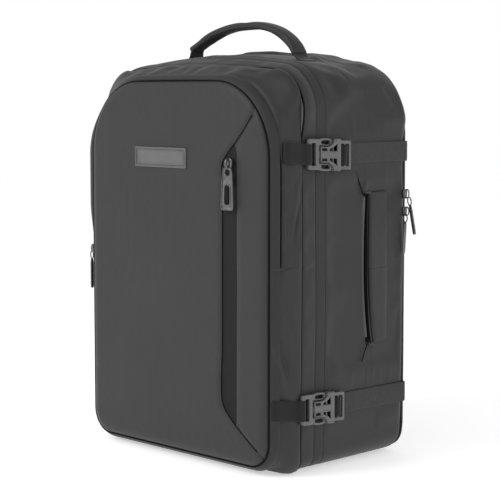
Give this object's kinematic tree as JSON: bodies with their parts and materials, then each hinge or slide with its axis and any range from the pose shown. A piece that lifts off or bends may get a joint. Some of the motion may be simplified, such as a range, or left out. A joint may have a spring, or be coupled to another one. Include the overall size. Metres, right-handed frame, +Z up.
{
  "type": "travel backpack",
  "caption": "Cabin-size travel backpack with a deep main shell, flapped front compartment, opening back panel, carry handles, zips and side-release compression straps.",
  "frame": {"origin": "middle of the base panel's underside, on the floor", "axes": "+Z up, -Y out of the front panel, +Y out of the wearer's back panel, +X towards the side with the carry handle"},
  "size_m": [0.3795, 0.2628, 0.547],
  "materials": {
    "coated_fabric": "smooth charcoal polyester with a matt polyurethane coating",
    "webbing": "ribbed 25 mm webbing, matt",
    "zip_tape": "coil zip with a coated cover, black",
    "buckle_plastic": "moulded acetal, satin grey",
    "zip_metal": "gunmetal-plated casting",
    "patch_rubber": "soft moulded patch, stitched border, blank",
    "mesh_fabric": "air-mesh over foam, matt",
    "lining": "light woven polyester lining",
    "stiff_board": "polyethylene frame sheet, satin"
  },
  "bodies": {
    "root": {"main_shell": "coated_fabric", "binding_band": "coated_fabric", "front_pocket_gusset": "coated_fabric", "front_zip_tape": "zip_tape", "front_panel_lower": "coated_fabric", "quick_zip_lower": "zip_tape", "base_panel": "coated_fabric", "skid_strip_right": "buckle_plastic", "skid_strip_left": "buckle_plastic", "laptop_sleeve": "lining", "handle_tab_right": "webbing", "handle_tab_left": "webbing", "main_zip_tape": "zip_tape", "stub_webbing_top_right": "webbing", "rear_webbing_top_right": "webbing", "plug_top_right": "buckle_plastic", "stub_webbing_top_left": "webbing", "rear_webbing_top_left": "webbing", "plug_top_left": "buckle_plastic", "stub_webbing_bottom_right": "webbing", "rear_webbing_bottom_right": "webbing", "plug_bottom_right": "buckle_plastic", "stub_webbing_bottom_left": "webbing", "rear_webbing_bottom_left": "webbing", "plug_bottom_left": "buckle_plastic"},
    "front_flap": {"front_panel_upper": "coated_fabric", "quick_zip_upper": "zip_tape", "badge_patch": "patch_rubber"},
    "quick_slider": {"quick_slider": "zip_metal"},
    "quick_pull": {"quick_pull": "buckle_plastic"},
    "compartment_slider": {"compartment_slider": "zip_metal"},
    "compartment_pull": {"compartment_pull": "zip_metal"},
    "main_upper_slider": {"main_upper_slider": "zip_metal"},
    "main_upper_pull": {"main_upper_pull": "zip_metal"},
    "main_lower_slider": {"main_lower_slider": "zip_metal"},
    "main_lower_pull": {"main_lower_pull": "zip_metal"},
    "back_door": {"back_panel": "mesh_fabric", "frame_sheet": "stiff_board", "lower_webbing_right": "webbing", "lower_webbing_left": "webbing"},
    "shoulder_right": {"shoulder_strap_right": "mesh_fabric", "strap_adjuster_right": "buckle_plastic"},
    "shoulder_left": {"shoulder_strap_left": "mesh_fabric", "strap_adjuster_left": "buckle_plastic"},
    "top_handle": {"top_handle": "webbing"},
    "side_handle": {"side_handle": "coated_fabric"},
    "socket_top_right": {"socket_top_right": "buckle_plastic"},
    "squeeze_top_right_upper": {"plug_arm_top_right_upper": "buckle_plastic"},
    "squeeze_top_right_lower": {"plug_arm_top_right_lower": "buckle_plastic"},
    "socket_top_left": {"socket_top_left": "buckle_plastic"},
    "squeeze_top_left_upper": {"plug_arm_top_left_upper": "buckle_plastic"},
    "squeeze_top_left_lower": {"plug_arm_top_left_lower": "buckle_plastic"},
    "socket_bottom_right": {"socket_bottom_right": "buckle_plastic"},
    "squeeze_bottom_right_upper": {"plug_arm_bottom_right_upper": "buckle_plastic"},
    "squeeze_bottom_right_lower": {"plug_arm_bottom_right_lower": "buckle_plastic"},
    "socket_bottom_left": {"socket_bottom_left": "buckle_plastic"},
    "squeeze_bottom_left_upper": {"plug_arm_bottom_left_upper": "buckle_plastic"},
    "squeeze_bottom_left_lower": {"plug_arm_bottom_left_lower": "buckle_plastic"}
  },
  "joints": [
    {"name": "front_flap_hinge", "type": "hinge", "parent": "root", "child": "front_flap", "pos_m": [0, -0.124, 0.25], "axis": [1, 0, 0], "range_deg": [0, 70]},
    {"name": "quick_zip_slide", "type": "slide", "parent": "front_flap", "child": "quick_slider", "axis": [0, 0, -1], "range_m": [0, 0.1]},
    {"name": "quick_pull_swing", "type": "hinge", "parent": "quick_slider", "child": "quick_pull", "pos_m": [0.0995, -0.1265, 0.365], "axis": [-1, 0, 0], "range_deg": [0, 90]},
    {"name": "compartment_zip_slide", "type": "slide", "parent": "root", "child": "compartment_slider", "axis": [0, 0, 1], "range_m": [0, 0.16]},
    {"name": "compartment_pull_swing", "type": "hinge", "parent": "compartment_slider", "child": "compartment_pull", "pos_m": [-0.173, -0.1035, 0.2424], "axis": [0, 1, 0], "range_deg": [0, 85]},
    {"name": "main_upper_zip_slide", "type": "slide", "parent": "root", "child": "main_upper_slider", "axis": [0, 0, 1], "range_m": [0, 0.085]},
    {"name": "main_upper_pull_swing", "type": "hinge", "parent": "main_upper_slider", "child": "main_upper_pull", "pos_m": [0.1825, 0.11, 0.3224], "axis": [0, -1, 0], "range_deg": [-13, 75]},
    {"name": "main_lower_zip_slide", "type": "slide", "parent": "root", "child": "main_lower_slider", "axis": [0, 0, -1], "range_m": [0, 0.23]},
    {"name": "main_lower_pull_swing", "type": "hinge", "parent": "main_lower_slider", "child": "main_lower_pull", "pos_m": [0.179, 0.105, 0.3004], "axis": [0, -1, 0], "range_deg": [0, 85]},
    {"name": "back_door_hinge", "type": "hinge", "parent": "root", "child": "back_door", "pos_m": [-0.177, 0.1117, 0.25], "axis": [0, 0, 1], "range_deg": [0, 110]},
    {"name": "shoulder_swing_right", "type": "hinge", "parent": "back_door", "child": "shoulder_right", "pos_m": [0.05, 0.1237, 0.455], "axis": [1, 0, 0], "range_deg": [0, 20]},
    {"name": "shoulder_swing_left", "type": "hinge", "parent": "back_door", "child": "shoulder_left", "pos_m": [-0.05, 0.1237, 0.455], "axis": [1, 0, 0], "range_deg": [0, 20]},
    {"name": "top_handle_swing", "type": "hinge", "parent": "root", "child": "top_handle", "pos_m": [0, 0, 0.501], "axis": [1, 0, 0], "range_deg": [-50, 50]},
    {"name": "side_handle_pull", "type": "slide", "parent": "root", "child": "side_handle", "axis": [1, 0, 0], "range_m": [0, 0.02]},
    {"name": "socket_release_top_right", "type": "slide", "parent": "root", "child": "socket_top_right", "axis": [0, 1, 0], "range_m": [0, 0.03]},
    {"name": "squeeze_top_right_upper", "type": "hinge", "parent": "root", "child": "squeeze_top_right_upper", "pos_m": [0.181, -0.0513, 0.3925], "axis": [-1, 0, 0], "range_deg": [0, 8], "stiffness_Nm_per_rad": 0.05},
    {"name": "squeeze_top_right_lower", "type": "hinge", "parent": "root", "child": "squeeze_top_right_lower", "pos_m": [0.181, -0.0513, 0.3755], "axis": [-1, 0, 0], "range_deg": [-8, 0], "stiffness_Nm_per_rad": 0.05},
    {"name": "socket_release_top_left", "type": "slide", "parent": "root", "child": "socket_top_left", "axis": [0, 1, 0], "range_m": [0, 0.03]},
    {"name": "squeeze_top_left_upper", "type": "hinge", "parent": "root", "child": "squeeze_top_left_upper", "pos_m": [-0.181, -0.0513, 0.3925], "axis": [-1, 0, 0], "range_deg": [0, 8], "stiffness_Nm_per_rad": 0.05},
    {"name": "squeeze_top_left_lower", "type": "hinge", "parent": "root", "child": "squeeze_top_left_lower", "pos_m": [-0.181, -0.0513, 0.3755], "axis": [-1, 0, 0], "range_deg": [-8, 0], "stiffness_Nm_per_rad": 0.05},
    {"name": "socket_release_bottom_right", "type": "slide", "parent": "root", "child": "socket_bottom_right", "axis": [0, 1, 0], "range_m": [0, 0.03]},
    {"name": "squeeze_bottom_right_upper", "type": "hinge", "parent": "root", "child": "squeeze_bottom_right_upper", "pos_m": [0.181, -0.0573, 0.0875], "axis": [-1, 0, 0], "range_deg": [0, 8], "stiffness_Nm_per_rad": 0.05},
    {"name": "squeeze_bottom_right_lower", "type": "hinge", "parent": "root", "child": "squeeze_bottom_right_lower", "pos_m": [0.181, -0.0573, 0.0705], "axis": [-1, 0, 0], "range_deg": [-8, 0], "stiffness_Nm_per_rad": 0.05},
    {"name": "socket_release_bottom_left", "type": "slide", "parent": "root", "child": "socket_bottom_left", "axis": [0, 1, 0], "range_m": [0, 0.03]},
    {"name": "squeeze_bottom_left_upper", "type": "hinge", "parent": "root", "child": "squeeze_bottom_left_upper", "pos_m": [-0.181, -0.0573, 0.0875], "axis": [-1, 0, 0], "range_deg": [0, 8], "stiffness_Nm_per_rad": 0.05},
    {"name": "squeeze_bottom_left_lower", "type": "hinge", "parent": "root", "child": "squeeze_bottom_left_lower", "pos_m": [-0.181, -0.0573, 0.0705], "axis": [-1, 0, 0], "range_deg": [-8, 0], "stiffness_Nm_per_rad": 0.05}
  ],
  "couplings": [
    {"joint": "squeeze_top_right_lower", "follows": "squeeze_top_right_upper", "ratio": -1},
    {"joint": "squeeze_top_left_lower", "follows": "squeeze_top_left_upper", "ratio": -1},
    {"joint": "squeeze_bottom_right_lower", "follows": "squeeze_bottom_right_upper", "ratio": -1},
    {"joint": "squeeze_bottom_left_lower", "follows": "squeeze_bottom_left_upper", "ratio": -1}
  ]
}
